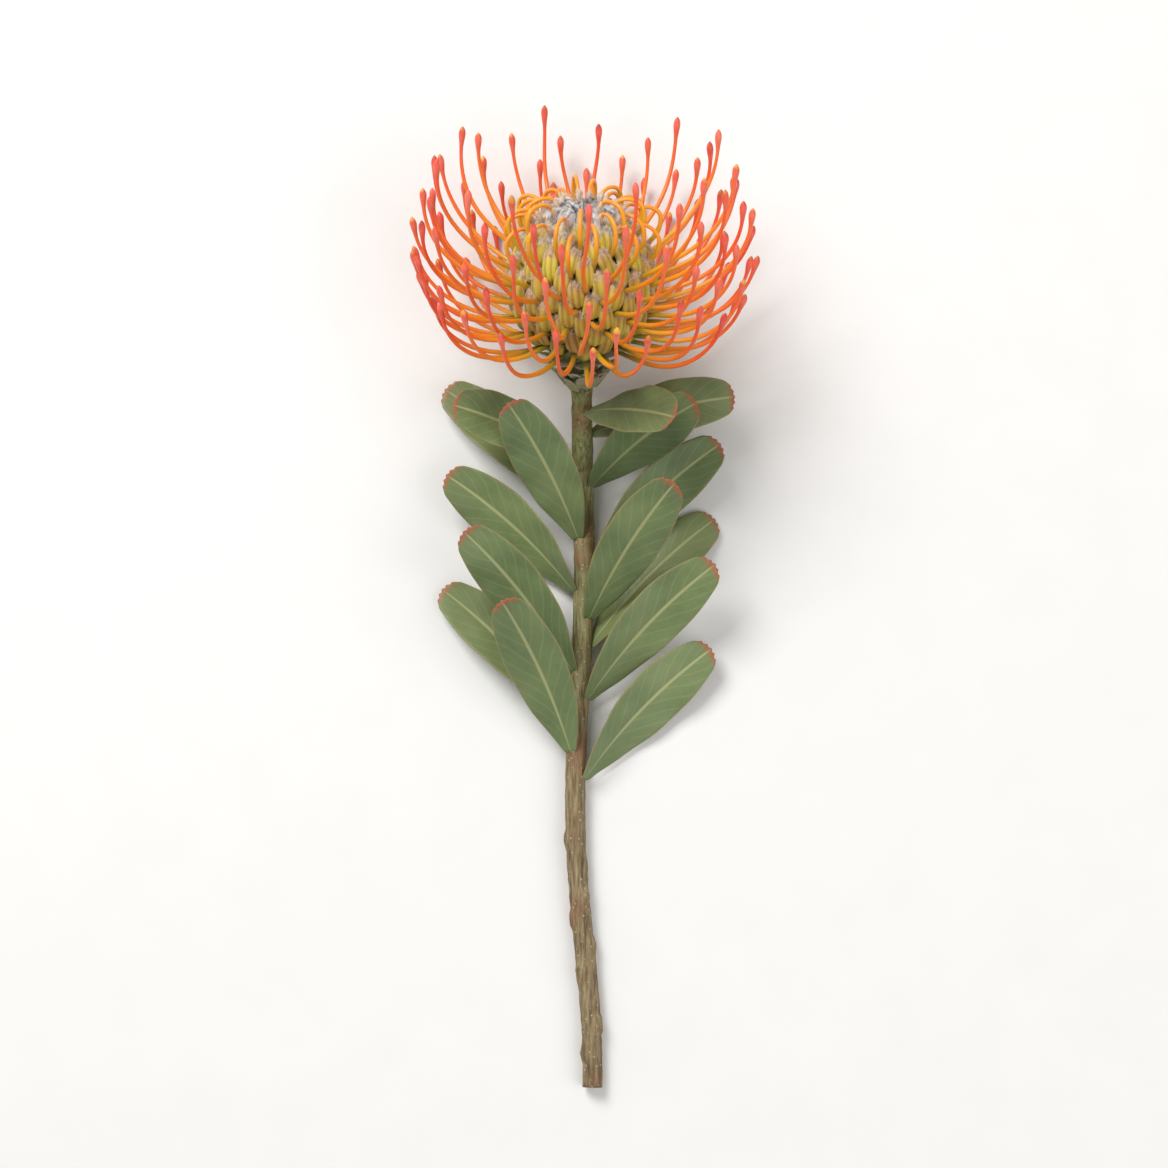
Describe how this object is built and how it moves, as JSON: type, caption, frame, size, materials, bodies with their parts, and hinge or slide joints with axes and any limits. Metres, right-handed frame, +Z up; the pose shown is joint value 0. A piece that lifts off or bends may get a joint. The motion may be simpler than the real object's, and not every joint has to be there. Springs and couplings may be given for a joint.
{
  "type": "pincushion protea",
  "caption": "Cut pincushion flower lying down: a dome of rolled perianths with long, knob-tipped orange styles, on a bent woody stem with toothed leathery leaves.",
  "frame": {"origin": "centre of the bottom of the bounding box, on the surface the flower lies on", "axes": "+Y along the stem from its cut end to the flower head, +Z up, +X to the right seen from above with the head at the top"},
  "size_m": [0.1228, 0.351, 0.1113],
  "materials": {
    "style": "satin",
    "perianth": "matte",
    "bud": "matte",
    "bract": "matte",
    "leaf": "satin",
    "stem": "matte"
  },
  "bodies": {
    "root": {"stem": "stem", "style_row_01": "style", "style_row_02": "style", "style_row_03": "style", "style_row_04": "style", "style_row_05": "style", "style_row_06": "style", "style_row_07": "style", "style_row_08": "style", "style_row_09": "style", "style_row_10": "style", "style_row_11": "style", "style_row_12": "style", "style_row_13": "style", "perianth_row_01": "perianth", "perianth_row_02": "perianth", "perianth_row_03": "perianth", "perianth_row_04": "perianth", "perianth_row_05": "perianth", "perianth_row_06": "perianth", "perianth_row_07": "perianth", "perianth_row_08": "perianth", "perianth_row_09": "perianth", "perianth_row_10": "perianth", "perianth_row_11": "perianth", "perianth_row_12": "perianth", "perianth_row_13": "perianth", "crown_bud_1": "bud", "crown_bud_2": "bud", "crown_bud_3": "bud", "crown_bud_4": "bud", "crown_bud_5": "bud", "crown_bud_6": "bud", "crown_bud_7": "bud", "crown_bud_8": "bud", "bract_whorl_1": "bract", "bract_whorl_2": "bract", "bract_whorl_3": "bract", "leaf_01": "leaf", "leaf_02": "leaf", "leaf_03": "leaf", "leaf_04": "leaf", "leaf_05": "leaf", "leaf_06": "leaf", "leaf_07": "leaf", "leaf_08": "leaf", "leaf_09": "leaf", "leaf_10": "leaf", "leaf_11": "leaf", "leaf_12": "leaf", "leaf_13": "leaf", "leaf_14": "leaf", "leaf_15": "leaf"}
  },
  "joints": []
}
